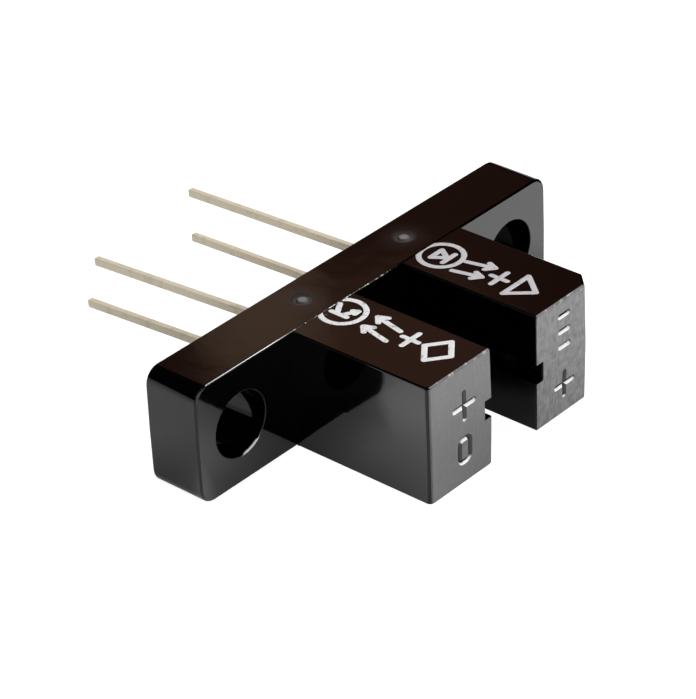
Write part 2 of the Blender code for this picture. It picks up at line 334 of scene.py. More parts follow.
def scuff_effect() -> Tree:
    """Handling scuffs: noise drawn out along one direction, cut to thin streaks.

    Returns:
        The node group.
    """
    n, inside, outside = new_effect("handling scuffs", {"Scale": 300.0, "Amount": 0.5}, ("Streaks",))
    given = inside.outputs
    where = n.drawn(given["Vector"], (1.0, 9.0, 9.0), (0.35, 0.2, 0.6))
    thin = n.ramp(n.noise(where, Scale=given["Scale"], Detail=4.0, Roughness=0.7), Step(0.55, 0.75))
    n.fill(outside, Streaks=n.maths("MULTIPLY", thin, given["Amount"], True))
    return n.tree


@dataclass(frozen=True)
class Effects:
    """The shared effects, each made once."""

    grain: Tree = field(default_factory=grain_effect)
    dust: Tree = field(default_factory=dust_effect)
    scuffs: Tree = field(default_factory=scuff_effect)


@dataclass(frozen=True)
class Surface(Nodes):
    """A material's nodes, and what its patterns read: the object's coordinates and the shared effects."""

    where: Socket
    shared: Effects

    @cached_property
    def place(self) -> Axes:
        """X, Y and Z of the coordinates."""
        return self.split(self.where)

    @cached_property
    def facing(self) -> Axes:
        """X, Y and Z of the flat face's normal."""
        return self.split(self.add("NewGeometry").outputs["True Normal"])

    def grain(self, scale: float, contrast: float, where: Socket | None = None) -> Outputs:
        """The grain's outputs, Height and Peaks, at the object's coordinates or at others."""
        at = self.where if where is None else where
        return self.effect(self.shared.grain, at, Scale=scale, Contrast=contrast)


# Finishes


@dataclass(frozen=True)
class Finish:
    """A procedural material."""

    name: str

    def make(self, shared: Effects) -> Material:
        """Builds the material.

        Args:
            shared: The shared effects.

        Returns:
            The material.
        """
        made, n, shader, where = new_material(self.name)
        n.fill(shader, **self.inputs(Surface(n.tree, where, shared)))
        return made

    def inputs(self, n: Surface) -> dict[str, object]:
        """Says what feeds the shader.

        Args:
            n: The material's nodes.

        Returns:
            Sockets, colours or numbers by the input's name, as fill takes them.
        """
        raise NotImplementedError


@dataclass(frozen=True)
class BlackMoulding(Finish):
    """Infrared-passing black polycarbonate: polished sides, dull upright edges, eroded tips and gate scars.

    A step named after x, y or z is taken along that axis, and one named turn is taken of a face's normal.
    The marks' up-facing walls and a stretch of one hole's rim carry painted highlights; the gate scars do in
    part.
    """

    name: str = "black moulding"
    colour: Colour = (0.0006, 0.0004, 0.0004)
    worn: Colour = (0.003, 0.0025, 0.0025)
    dust: Colour = (0.3, 0.3, 0.3)
    tip_low: Colour = (0.1, 0.1, 0.103)
    tip_high: Colour = (0.32, 0.32, 0.325)
    chipped: Colour = (0.5, 0.49, 0.48)
    # The gate scar's pale colour is partly a painted highlight on the gate's dimple.
    scar_and_highlight: Colour = (0.18, 0.165, 0.165)
    # Painted highlight colour, on the marks' up-facing walls and on the hole's rim.
    painted_highlight: Colour = (0.9, 0.9, 0.9)
    dust_share: float = 0.3
    polish: float = 0.06
    scuff_roughness: float = 0.08
    tip_roughness: float = 0.42
    edge_roughness: float = 0.3
    scar_roughness: float = 0.5
    gloss: float = 0.5
    mirrored_loss: float = 0.9
    index: float = 1.586
    relief_depth: float = 0.02
    fine_share: float = 0.06
    sink_share: float = 0.6
    tip_y: Step = Step(10.66, 10.7)
    tip_turn: Step = Step(0.75, 0.95)
    tip_round_z: Step = Step(2.65, 2.75)
    tip_round_turn: Step = Step(0.1, 0.3, 1.0, 0.0)
    mark_middle_x: float = 3.76
    mark_middle_z: float = 0.7
    mark_reach: Step = Step(1.6, 1.7, 1.0, 0.0)
    mark_turn: Step = Step(0.2, 0.6, 0.5, 1.0)
    # Where the marks' up-facing walls get the painted highlight.
    mark_highlight_turn: Step = Step(0.25, 0.6)
    mark_highlight_z: Step = Step(2.5, 2.6, 1.0, 0.0)
    # Painted light: the tips' grey rises with height.
    painted_light_z: Step = Step(-1.0, 2.6, 0.12, 0.3)
    chip_spots: Step = Step(0.55, 0.68)
    chip_z: Step = Step(2.7, 2.95)
    upright_turn: Step = Step(0.1, 0.4)
    root_x: Step = Step(7.0, 8.0, 1.0, 0.6)
    root_y: Step = Step(-3.6, -3.2, 0.6, 1.0)
    edge_turn: Step = Step(0.05, 0.2)
    glossy_end_x: Step = Step(-7.6, -5.6, 0.75, 0.0)
    dots_from_x: Step = Step(-5.5, -3.0, 0.6, 1.0)
    dots_to_x: Step = Step(-0.7, 1.5, 0.5, 0.0)
    least_dot: float = 0.08
    hole: Pair = (9.5, 1.6)
    hole_wall: Step = Step(1.61, 1.63, 1.0, 0.0)
    # Where the rim's painted highlight lies.
    rim_ring: Step = Step(1.035, 1.055, 1.0, 0.0)
    rim_y: Step = Step(-2.96, -2.9, 1.0, 0.0)
    rim_way: Pair = (0.34, 0.94)
    rim_stretch: Step = Step(0.95, 0.985)
    gate: Pair = (3.55, -1.5)
    gate_spot: Step = Step(0.1, 0.4, 0.95, 0.0)
    gate_ring: Step = Step(0.3, 0.68, 0.24, 0.0)
    gate_blush: Step = Step(0.1, 1.6, 0.05, 0.0)

    def inputs(self, n: Surface) -> dict[str, object]:
        """Says what feeds the shader.

        Seen in a mirror image, the moulding keeps only a little of its gloss and none of the painted
        highlight on the rim.

        Args:
            n: The material's nodes.

        Returns:
            What fill takes, by name.
        """
        mirrored = n.add("LightPath").outputs["Is Glossy Ray"]
        streaks = n.effect(n.shared.scuffs, n.where, Scale=260.0, Amount=0.25)["Streaks"]
        specks = n.effect(n.shared.dust, n.where, Scale=900.0, Size=0.045)["Specks"]
        tip, scar_and_highlight = self.tip_mask(n), self.scar_and_highlight_mask(n)
        upright = n.times(*(n.ramp(n.size(part), self.upright_turn) for part in n.facing[:2]))
        # rim is the mask of the rim's painted highlight, which mirror images leave out.
        rim = n.times(self.rim_glint_mask(n), n.minus(1.0, mirrored))
        body = n.blend(streaks, self.colour, self.worn)
        body = n.blend(n.times(specks, self.dust_share), body, self.dust)
        # The rim's blend is a painted highlight, and the gate scar's blend is partly one.
        body = n.blend(rim, n.blend(scar_and_highlight, body, self.scar_and_highlight), self.painted_highlight)
        rough = n.most(
            n.times(tip, self.tip_roughness),
            n.times(upright, self.edge_roughness),
            n.times(n.most(scar_and_highlight, rim), self.scar_roughness),
        )
        gloss = n.minus(self.gloss, n.times(self.dull_mask(n, upright), self.gloss))
        return {
            "Base_Color": n.blend(tip, body, self.tip_colour(n)),
            "Roughness": n.plus(n.times(streaks, self.scuff_roughness), self.polish, rough),
            "Specular_IOR_Level": n.times(gloss, n.minus(1.0, n.times(mirrored, self.mirrored_loss))),
            "Normal": n.bump(self.relief(n, tip), self.relief_depth),
            "IOR": self.index,
        }

    def relief(self, n: Surface, tip: Socket) -> Socket:
        """Relief of the skin: eroded grain on the tips, and fine grain and wide sink marks all over.

        Args:
            n: The material's nodes.
            tip: Mask of the tips.

        Returns:
            The height.
        """
        kinds = ((9000.0, 1.3), (1300.0, 1.0), (150.0, 1.0))
        coarse, fine, sinks = (n.grain(scale, contrast)["Height"] for scale, contrast in kinds)
        return n.plus(n.times(coarse, tip), n.times(fine, self.fine_share), n.times(sinks, self.sink_share))

    def tip_mask(self, n: Surface) -> Socket:
        """Where the tips are spark-eroded: their flat faces, the marks' walls and the rounds above and below.

        Args:
            n: The material's nodes.

        Returns:
            The mask.
        """
        (x, y, z), (face_x, face_y, face_z) = n.place, n.facing
        front = n.ramp(n.times(face_y, -1.0), self.tip_turn)
        rounds = n.times(n.along(n.size(z), self.tip_round_z), n.ramp(n.size(face_x), self.tip_round_turn))
        aside = n.size(n.minus(n.size(x), self.mark_middle_x * MM))
        away = n.most(aside, n.minus(n.size(z), self.mark_middle_z * MM))
        walls = n.times(n.along(away, self.mark_reach), n.ramp(face_z, self.mark_turn))
        return n.times(n.most(front, rounds, walls), n.along(n.times(y, -1.0), self.tip_y))

    def tip_colour(self, n: Surface) -> Socket:
        """Grey of the tips: paler upwards, in upright streaks that are stronger at +X, chipped along the top.
        Paler upwards is painted light.

        The marks' walls that face up get a painted highlight.

        Args:
            n: The material's nodes.

        Returns:
            The colour.
        """
        (x, _, z), (_, _, face_z) = n.place, n.facing
        drag = n.grain(9000.0, 1.0, n.drawn(n.where, (1.0, 1.0, 0.14)))["Height"]
        spots = n.grain(2600.0, 1.0)["Height"]
        strength = n.by_end(x, 0.22, 1.2)
        streaks, patches = (n.times(n.minus(height, 0.5), strength) for height in (drag, spots))
        # Paler upwards is painted light.
        grey = n.plus(streaks, patches, n.along(z, self.painted_light_z))
        grey = n.maths("ADD", grey, n.by_end(x, 0.0, 0.12), True)
        chips = n.times(n.ramp(spots, self.chip_spots), n.along(z, self.chip_z))
        # walls is the mask of the marks' up-facing walls, which get a painted highlight.
        walls = n.times(n.ramp(face_z, self.mark_highlight_turn), n.along(z, self.mark_highlight_z))
        colour = n.blend(chips, n.blend(grey, self.tip_low, self.tip_high), self.chipped)
        return n.blend(walls, colour, self.painted_highlight)

    def dull_mask(self, n: Surface, upright: Socket) -> Socket:
        """Where the gloss is lost: upright edges, most at the towers' roots, upper front edges, hole walls.

        The upper front edge keeps its gloss at the detector's end, and in dots beside the gap.

        Args:
            n: The material's nodes.
            upright: Mask of the upright edges.

        Returns:
            The mask.
        """
        (x, y, z), (_, face_y, face_z) = n.place, n.facing
        root = n.times(n.along(n.size(x), self.root_x), upright, n.along(y, self.root_y))
        dots = n.most(n.grain(5000.0, 2.2)["Peaks"], self.least_dot)
        dots = n.times(dots, n.along(x, self.dots_from_x), n.along(x, self.dots_to_x))
        edge = n.times(n.ramp(face_z, self.edge_turn), n.ramp(n.times(face_y, -1.0), self.edge_turn))
        edge = n.times(edge, n.minus(1.0, n.most(n.along(x, self.glossy_end_x), dots)))
        wall = n.along(n.far(n.minus(n.size(x), self.hole[0] * MM), z), self.hole_wall)
        wall = n.times(wall, n.by_end(x, 0.35, 0.9))
        return n.maths("MAXIMUM", root, n.most(edge, wall), True)

    def rim_glint_mask(self, n: Surface) -> Socket:
        """A painted highlight on the rim of the hole at -X: a thin ring, cut to its lower side towards +X.

        Args:
            n: The material's nodes.

        Returns:
            The mask.
        """
        x, y, z = n.place
        middle, radius = (length * MM for length in self.hole)
        aside, up = n.maths("DIVIDE", n.plus(x, middle), radius), n.maths("DIVIDE", z, radius)
        thin = n.times(n.ramp(n.far(aside, up), self.rim_ring), n.along(y, self.rim_y))
        low = n.minus(n.times(aside, self.rim_way[0]), n.times(up, self.rim_way[1]))
        return n.times(thin, n.ramp(low, self.rim_stretch))

    def scar_and_highlight_mask(self, n: Surface) -> Socket:
        """The pale scar of each mould gate, partly a painted highlight on its dimple: a spot and a ring by
        distance from its centre, and a faint blush.

        Args:
            n: The material's nodes.

        Returns:
            The mask.
        """
        x, y, _ = n.place
        far = n.far(n.minus(n.size(x), self.gate[0] * MM), n.minus(y, self.gate[1] * MM))
        spot = n.most(n.along(far, self.gate_spot), n.along(far, self.gate_ring))
        return n.maths("ADD", spot, n.along(far, self.gate_blush), True)


@dataclass(frozen=True)
class WhiteInk(Finish):
    """Pad-printed white ink, a little thin where the pad lifted, and greyer on the tower at +X."""

    name: str = "white ink"
    colour: Colour = (0.78, 0.78, 0.78)
    thin: Colour = (0.42, 0.40, 0.39)
    grey: Colour = (0.55, 0.53, 0.55)
    roughness: float = 0.55
    relief_depth: float = 0.006

    def inputs(self, n: Surface) -> dict[str, object]:
        """Says what feeds the shader.

        Args:
            n: The material's nodes.

        Returns:
            What fill takes, by name.
        """
        grain = n.grain(5200.0, 1.3)
        white = n.blend(n.by_end(n.place[0], 0.0, 1.0), self.colour, self.grey)
        return {
            "Base_Color": n.blend(grain["Peaks"], white, self.thin),
            "Roughness": self.roughness,
            "Normal": n.bump(grain["Height"], self.relief_depth),
        }


@dataclass(frozen=True)
class TinnedStrip(Finish):
    """Tin-plated lead frame strip, warm and drawn along the lead."""

    name: str = "tinned strip"
    colour: Colour = (0.92, 0.82, 0.64)
    dull: Colour = (0.84, 0.74, 0.57)
    metallic: float = 0.3
    roughness: Step = Step(0.2, 0.8, 0.40, 0.52)
    relief_depth: float = 0.004

    def inputs(self, n: Surface) -> dict[str, object]:
        """Says what feeds the shader.

        Args:
            n: The material's nodes.

        Returns:
            What fill takes, by name.
        """
        lines_drawn = n.grain(9000.0, 1.5, n.drawn(n.where, (1.0, 0.06, 1.0)))["Height"]
        return {
            "Base_Color": n.blend(n.grain(1400.0, 1.7)["Peaks"], self.colour, self.dull),
            "Metallic": self.metallic,
            "Roughness": n.ramp(lines_drawn, self.roughness),
            "Normal": n.bump(lines_drawn, self.relief_depth),
        }


@dataclass(frozen=True)
class TintedEpoxy(Finish):
    """Moulding epoxy of a package, faintly clouded."""

    colour: Colour
    cloud: float = 0.8
    roughness: float = 0.08
    index: float = 1.54
    relief_depth: float = 0.002

    def inputs(self, n: Surface) -> dict[str, object]:
        """Says what feeds the shader.

        Args:
            n: The material's nodes.

        Returns:
            What fill takes, by name.
        """
        grain = n.grain(2600.0, 1.2)["Height"]
        return {
            "Base_Color": n.blend(grain, self.colour, tuple(self.cloud * part for part in self.colour)),
            "Roughness": self.roughness,
            "IOR": self.index,
            "Normal": n.bump(grain, self.relief_depth),
        }


@dataclass(frozen=True)
class PolishedDie(Finish):
    """Sawn semiconductor with flecks of metal on its face."""

    name: str = "polished die"
    colour: Colour = (0.10, 0.10, 0.13)
    metal: Colour = (0.32, 0.26, 0.14)
    metallic: float = 0.6
    roughness: Step = Step(0.0, 1.0, 0.12, 0.3)

    def inputs(self, n: Surface) -> dict[str, object]:
        """Says what feeds the shader.

        Args:
            n: The material's nodes.

        Returns:
            What fill takes, by name.
        """
        grain = n.grain(6000.0, 1.0)
        return {
            "Base_Color": n.blend(grain["Peaks"], self.colour, self.metal),
            "Metallic": self.metallic,
            "Roughness": n.ramp(grain["Height"], self.roughness),
        }


@dataclass(frozen=True)
class GoldWire(Finish):
    """Fine gold bond wire."""

    name: str = "gold wire"
    colour: Colour = (0.86, 0.60, 0.22)
    deep: Colour = (0.6, 0.4, 0.12)
    roughness: float = 0.2

    def inputs(self, n: Surface) -> dict[str, object]:
        """Says what feeds the shader: what fill takes, by name."""
        colour = n.blend(n.grain(20000.0, 1.0)["Height"], self.colour, self.deep)
        return {"Base_Color": colour, "Metallic": 1.0, "Roughness": self.roughness}


# Strokes


def lines(centre: Pair, *runs: tuple[Pair, Pair]) -> list[Stroke]:
    """Straight strokes: start plus t times the way to the end, for t from 0 to 1.

    Args:
        centre: Point that the others are measured from.
        runs: Start and end of each.

    Returns:
        The strokes.
    """
    t = np.linspace(0.0, 1.0, 9)[:, None]
    moved = [(np.add(centre, start), np.add(centre, end)) for start, end in runs]
    return [(start * (1 - t) + end * t, False) for start, end in moved]


def polygon(centre: Pair, *corners: Pair) -> list[Stroke]:
    """Straight strokes from corner to corner and back to the first, measured from the centre."""
    return lines(centre, *zip(corners, corners[1:] + corners[:1]))


def ring(centre: Pair, size: Pair, corner: float) -> list[Stroke]:
    """A closed rounded rectangle: a circle of the corner's radius, each quarter moved out to its own corner.

    Args:
        centre: Its middle.
        size: Its width and height.
        corner: Radius of its corners.

    Returns:
        One closed stroke.
    """
    turn = np.linspace(0.0, 2 * pi, 48, endpoint=False) + pi / 48
    round_part = corner * np.stack([np.cos(turn), np.sin(turn)], 1)
    away = (np.array(size) / 2 - corner) * np.sign(round_part)
    return [(np.array(centre) + round_part + away, True)]


def arrow(centre: Pair, start: Pair, end: Pair, barb: float, spread: float = radians(35.0)) -> list[Stroke]:
    """An arrow: its shaft, and two barbs of the shaft's direction turned back by the spread to either side.

    Args:
        centre: Point that the others are measured from.
        start: Its tail.
        end: Its point.
        barb: Length of a barb.
        spread: Angle between a barb and the shaft.

    Returns:
        Three strokes.
    """
    back = np.subtract(start, end)
    x, y = barb * back / np.linalg.norm(back)
    turns = [(np.cos(turn), np.sin(turn)) for turn in (-spread, spread)]
    barbs = [(end, (end[0] + c * x - s * y, end[1] + s * x + c * y)) for c, s in turns]
    return lines(centre, (start, end), *barbs)


def raise_strokes(
    strokes: list[Stroke], width: float, rise: float, lift: Lift, power: float = 1.0, sections: int = 16
) -> tuple[Array, Array]:
    """Carries a flat oval along each stroke, drawn in to a point at the ends of an open one.

    Each point is the stroke's point, plus the stroke's side vector times half the width times the cosine of
    the oval's angle, plus the height, which is the rise times its sine. Both the cosine and the sine are
    raised to the power, with their signs kept, which squares or sharpens the oval. At an open end both are
    scaled by the square root of 1 minus the square of how far the point has gone past the last half width,
    which rounds the end.

    Args:
        strokes: Paths in the plane, each with whether it is closed.
        width: Full width of a stroke.
        rise: Height of its middle above the face.
        lift: Function from points in the plane and heights to points in the frame.
        power: 1 for an oval, less for a squarer section, more for a sharper one.
        sections: Points round the oval.

    Returns:
        Vertices in the frame and quads.
    """
    turn = np.linspace(0.0, 2 * pi, sections, endpoint=False) + pi / sections
    wide, tall = (np.sign(v) * np.abs(v) ** power for v in (np.cos(turn), np.sin(turn)))
    ease = np.sin(np.linspace(0.03, pi / 2, 6))[:-1]
    past = np.sqrt(1 - ease**2)[:, None] * width / 2
    vertices, quads, first = [], [], 0
    for path, closed in strokes:
        share = np.ones(len(path))
        if closed:
            run = np.roll(path, -1, 0) - np.roll(path, 1, 0)
        else:
            away_in, away_out = (v / np.linalg.norm(v) for v in (path[0] - path[1], path[-1] - path[-2]))
            path = np.concatenate([path[0] + past * away_in, path, path[-1] + past[::-1] * away_out])
            share = np.concatenate([ease, share, ease[::-1]])
            run = np.gradient(path, axis=0)
        side = np.stack([-run[:, 1], run[:, 0]], 1) / np.linalg.norm(run, axis=1)[:, None]
        across = share[:, None] * wide[None] * width / 2
        flat = path[:, None, :] + across[..., None] * side[:, None, :]
        vertices.append(lift(flat.reshape(-1, 2), (share[:, None] * tall[None] * rise).ravel()))
        quads.append(grid_quads(len(path), sections, closed) + first)
        first += len(path) * sections
    return np.concatenate(vertices), np.concatenate(quads)


def grid_quads(rows: int, columns: int, closed: bool) -> Array:
    """Quads of a grid whose columns run all the way round.

    Args:
        rows: Number of rows.
        columns: Points in each row.
        closed: Whether the last row joins the first too.

    Returns:
        Corner numbers of each quad.
    """
    row, column = np.arange(rows if closed else rows - 1)[:, None], np.arange(columns)[None]
    after, beside = (row + 1) % rows, (column + 1) % columns
    corners = ((row, column), (row, beside), (after, beside), (after, column))
    return np.stack([r * columns + c for r, c in corners], -1).reshape(-1, 4)


# Pieces


def new_object(name: str, data: bpy.types.ID) -> Piece:
    """Makes an object and puts it in the scene.

    Args:
        name: Its name.
        data: Its mesh, lamp or camera.

    Returns:
        The object.
    """
    made = bpy.data.objects.new(name, data)
    bpy.context.scene.collection.objects.link(made)
    return made


def closed_mesh(name: str, vertices: Array, quads: Array) -> Piece:
    """Turns arrays into a closed object, with its open ends capped and its faces turned outwards.

    Args:
        name: The object's name.
        vertices: Points in millimetres.
        quads: Corner numbers of each face.

    Returns:
        The object.
    """
    mesh = bpy.data.meshes.new(name)
    mesh.from_pydata((vertices * MM).tolist(), [], quads.tolist())
    shape = bmesh.new()
    shape.from_mesh(mesh)
    bmesh.ops.holes_fill(shape, edges=[e for e in shape.edges if e.is_boundary])
    bmesh.ops.recalc_face_normals(shape, faces=shape.faces)
    shape.to_mesh(mesh)
    shape.free()
    mesh.shade_smooth()
    return new_object(name, mesh)


def shade_by_area(mesh: bpy.types.Mesh, crease: float = radians(50), flat: float = 1.0) -> None:
    """Sets corner normals so that flat faces stay flat and only the small rounds between them turn.

    A corner's normal is the sum of the normals of the faces at its vertex, each times the area of all the
    faces in its plane. Faces that turn by more than the crease are left out, and so is another wide flat
    face, so the parting line between two drafted faces stays crisp.

    Args:
        mesh: A merged mesh.
        crease: The angle past which an edge is sharp.
        flat: Area in square millimetres past which a plane counts as a wide flat face.
    """
    faces, corners = len(mesh.polygons), len(mesh.loops)
    normals, middles = np.empty(faces * 3, np.float32), np.empty(faces * 3, np.float32)
    areas, sizes, points = np.empty(faces, np.float32), np.empty(faces, np.int32), np.empty(corners, np.int32)
    mesh.polygons.foreach_get("normal", normals)
    mesh.polygons.foreach_get("center", middles)
    mesh.polygons.foreach_get("area", areas)
    mesh.polygons.foreach_get("loop_total", sizes)
    mesh.loops.foreach_get("vertex_index", points)
    normals = normals.reshape(-1, 3).astype(float)
    # Faces in one plane: normals within 1/400 and distances from the origin within 1/100 mm.
    reach = (normals * middles.reshape(-1, 3)).sum(1) / MM
    keys = np.round(np.column_stack([normals * 400, reach * 100]))
    plane = np.unique(keys, axis=0, return_inverse=True)[1].ravel()
    wide = np.bincount(plane, areas)[plane] / MM**2
    # Every pair of a corner and a face at the same vertex.
    face = np.repeat(np.arange(faces), sizes)
    order = np.argsort(points, kind="stable")
    count = np.bincount(points, minlength=len(mesh.vertices))
    start = np.concatenate([[0], np.cumsum(count)[:-1]])
    many = count[points]
    corner = np.repeat(np.arange(corners), many)
    step = np.arange(many.sum()) - np.repeat(np.cumsum(many) - many, many)
    own, other = face[corner], face[order[start[points[corner]] + step]]
    turn = (normals[own] * normals[other]).sum(1)
    apart = (plane[own] != plane[other]) & (wide[own] > flat) & (wide[other] > flat)
    weight = np.where((turn > np.cos(crease)) & ~apart, wide[other], 0.0)
    sums = [np.bincount(corner, weight * normals[other, k], minlength=corners) for k in range(3)]
    total = np.stack(sums, 1)
    total /= np.maximum(np.linalg.norm(total, axis=1), 1e-12)[:, None]
    mesh.shade_smooth()
    mesh.normals_split_custom_set(total.tolist())


def skin(name: str, node: str, cutters: tuple[Piece, ...] = (), edge: float = 0.0) -> Piece:
    """Copies a solid, merges its triangles, sinks any marks into it, rounds its edges and shades it by area.

    Args:
        name: The new piece's name.
        node: The solid it stands for.
        cutters: Closed shapes that are sunk into it and then removed.
        edge: Width of the round along its edges, or 0 for none.

    Returns:
        The piece, without a finish.
    """
    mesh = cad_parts[node].data.copy()
    shape = bmesh.new()
    shape.from_mesh(mesh)
    bmesh.ops.remove_doubles(shape, verts=shape.verts, dist=MERGE * MM)
    shape.to_mesh(mesh)
    shape.free()
    made = new_object(name, mesh)
    for cutter in cutters:
        sink = made.modifiers.new(f"sink {cutter.name}", "BOOLEAN")
        sink.object, sink.operation, sink.solver = cutter, "DIFFERENCE", "EXACT"
    if edge:
        rounds = made.modifiers.new("rounded edges", "BEVEL")
        rounds.width, rounds.segments = edge * MM, 2
        rounds.limit_method, rounds.angle_limit = "ANGLE", radians(40)
    if made.modifiers:
        made.data = bpy.data.meshes.new_from_object(made.evaluated_get(bpy.context.evaluated_depsgraph_get()))
        made.modifiers.clear()
    made.data.name = name
    for cutter in cutters:
        bpy.data.objects.remove(cutter)
    shade_by_area(made.data)
    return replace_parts(made, node)


def paint(piece: Piece, material: Material) -> None:
    """Gives a piece or a solid its finish.

    Args:
        piece: The object.
        material: Its only material.
    """
    piece.data.materials.clear()
    piece.data.materials.append(material)
    LOG.info("%s: %d faces, %s", piece.name, len(piece.data.polygons), material.name)


def dress(piece: Piece, material: Material) -> Piece:
    """Gives a new piece its finish and its place on the body.

    Args:
        piece: The piece.
        material: Its finish.

    Returns:
        The piece.
    """
    paint(piece, material)
    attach(piece, "root")
    return piece


# Sub-assemblies


@dataclass
class TipMarks:
    """Sunk marks on the tips: a cross and a plain sign on each, generic in shape."""

    width: float = 0.3
    depth: float = 0.14
    section: float = 1.7
    detector_x: float = -3.5
    emitter_x: float = 3.65
    oval: Pair = (0.72, 1.2)
    oval_corner: float = 0.28
    bar: float = 0.3
    bar_step: float = 0.8

    def strokes(self, side: Side) -> list[Stroke]:
        """The marks of one tip.

        Args:
            side: Which tower.

        Returns:
            Strokes with X across and Z up.
        """
        if side is Side.DETECTOR:
            x, cross_z, arm = self.detector_x, 0.95, 0.66
            sign = ring((x, -1.35), self.oval, self.oval_corner)
        else:
            x, cross_z, arm = self.emitter_x, -1.5, 0.6
            steps = (-self.bar_step, 0.0, self.bar_step)
            sign = lines((x, 1.35), *(((-self.bar, step), (self.bar, step)) for step in steps))
        return sign + lines((x, cross_z), ((-arm, 0.0), (arm, 0.0)), ((0.0, -arm), (0.0, arm)))

    def cutters(self, lift: Lift) -> tuple[Piece, ...]:
        """Closed shapes of every stroke, half of each inside the tip.

        Args:
            lift: Function that puts points of the plane on the tip.

        Returns:
            The cutters.
        """
        runs = [stroke for side in Side for stroke in self.strokes(side)]
        shapes = [raise_strokes([run], self.width, self.depth, lift, self.section) for run in runs]
        return tuple(closed_mesh(f"mark_{number}", *shape) for number, shape in enumerate(shapes))


@dataclass
class Housing:
    """The one-piece moulding: flange, towers, slits and pockets."""

    depth: float = 10.8
    top: float = 2.97
    draft: float = radians(0.7)
    marks: TipMarks = field(default_factory=TipMarks)
    finish: BlackMoulding = field(default_factory=BlackMoulding)

    def build(self, shared: Effects) -> Piece:
        """Makes the moulding's skin from the solid, with the tips' marks sunk in.

        Args:
            shared: The shared effects.

        Returns:
            The piece, which stands for the solid.
        """
        made = skin("moulded_housing", "housing", self.marks.cutters(self.on_tip))
        return dress(made, self.finish.make(shared))

    def on_tip(self, flat: Array, height: Array) -> Array:
        """Points on the tips: across is X, up is Z, and the face leans back by the draft from mid-height."""
        lean = np.abs(flat[:, 1]) * tan(self.draft)
        return np.stack([flat[:, 0], -self.depth + lean - height, flat[:, 1]], 1)

    def on_top(self, flat: Array, height: Array) -> Array:
        """Points on a tower's upper side: across is X, along is Y."""
        return np.stack([flat[:, 0], flat[:, 1], self.top + height], 1)


@dataclass
class TopPrint:
    """White printed symbols on the towers' upper sides: plain circuit signs."""

    width: float = 0.28
    rise: float = 0.006
    ring_size: float = 2.1
    ring_corner: float = 1.049
    ray_starts: Pair = (-0.75, 0.25)
    ray_slant: float = 0.35
    ray_barb: float = 0.5
    finish: WhiteInk = field(default_factory=WhiteInk)

    def strokes(self, side: Side) -> list[Stroke]:
        """The signs of one tower: a transistor or diode in a ring, two rays, a plus, a diamond or triangle.

        Args:
            side: Which tower.

        Returns:
            Strokes with X across and Y along.
        """
        if side is Side.DETECTOR:
            x, ring_y, rays, plus_y = -3.2, -3.62, (-6.75, -5.15), -7.55
            sign = lines((x, ring_y), ((-0.28, -0.45), (-0.28, 0.45)), ((-0.28, 0.12), (0.42, 0.55)))
            sign += arrow((x, ring_y), (-0.28, -0.12), (0.42, -0.55), 0.26)
            pointer = polygon((x, plus_y), (-0.95, -1.55), (0.0, -0.8), (0.95, -1.55), (0.0, -2.3))
        else:
            x, ring_y, rays, plus_y = 3.3, -3.95, (-5.2, -6.65), -7.35
            sign = polygon((x, ring_y), (-0.42, 0.3), (0.42, 0.3), (0.0, -0.34))
            sign += lines((x, ring_y), ((-0.45, -0.45), (0.45, -0.45)))
            pointer = polygon((x, plus_y), (-0.95, -0.95), (0.95, -0.95), (0.0, -2.1))
        rounds = ring((x, ring_y), (self.ring_size, self.ring_size), self.ring_corner)
        light = [
            part
            for start in self.ray_starts
            for part in arrow((x, 0.0), (start, rays[0]), (start + self.ray_slant, rays[1]), self.ray_barb)
        ]
        plus = lines((x, plus_y), ((-0.6, 0.0), (0.6, 0.0)), ((0.0, -0.45), (0.0, 0.45)))
        return sign + rounds + light + plus + pointer

    def build(self, housing: Housing, shared: Effects) -> list[Piece]:
        """Prints both towers.

        Args:
            housing: The moulding that carries the print.
            shared: The shared effects.

        Returns:
            The pieces.
        """
        ink, made = self.finish.make(shared), []
        for side in Side:
            shape = raise_strokes(self.strokes(side), self.width, self.rise, housing.on_top)
            made.append(dress(closed_mesh(f"top_print_{side.name.lower()}", *shape), ink))
        return made


@dataclass
class Contents:
    """What one tower holds: package and leads in new skins, die and bond wire, which keep their solids."""

    side: Side
    leads: tuple[str, str]
    epoxy: TintedEpoxy
    lead_edge: float = 0.035

    def build(self, shared: Effects, strip: Material, die: Material, gold: Material) -> None:
        """Dresses the solids.

        Args:
            shared: The shared effects.
            strip: Finish of the leads.
            die: Finish of the die.
            gold: Finish of the bond wire.
        """
        who = self.side.name.lower()
        dress(skin(f"{who}_moulding", f"{who}_package"), self.epoxy.make(shared))
        for lead in self.leads:
            dress(skin(f"{who}_{lead}_strip", f"{who}_{lead}_lead", edge=self.lead_edge), strip)
        for node, material in ((f"{who}_die", die), (f"{who}_wire", gold)):
            paint(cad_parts[node], material)


# Studio


def aimed(azimuth: float, elevation: float, roll: float = 0.0) -> Matrix:
    """The turn of a lamp or camera that looks at the part.

    Args:
        azimuth: Where it stands, in degrees, as for a camera.
        elevation: How high, in degrees.
        roll: Turn about its own axis, in degrees.

    Returns:
        The rotation.
    """
    turns = ((azimuth, "Z"), (90.0 - elevation, "X"), (roll, "Z"))
    return reduce(lambda a, b: a @ b, (Matrix.Rotation(radians(angle), 4, axis) for angle, axis in turns))


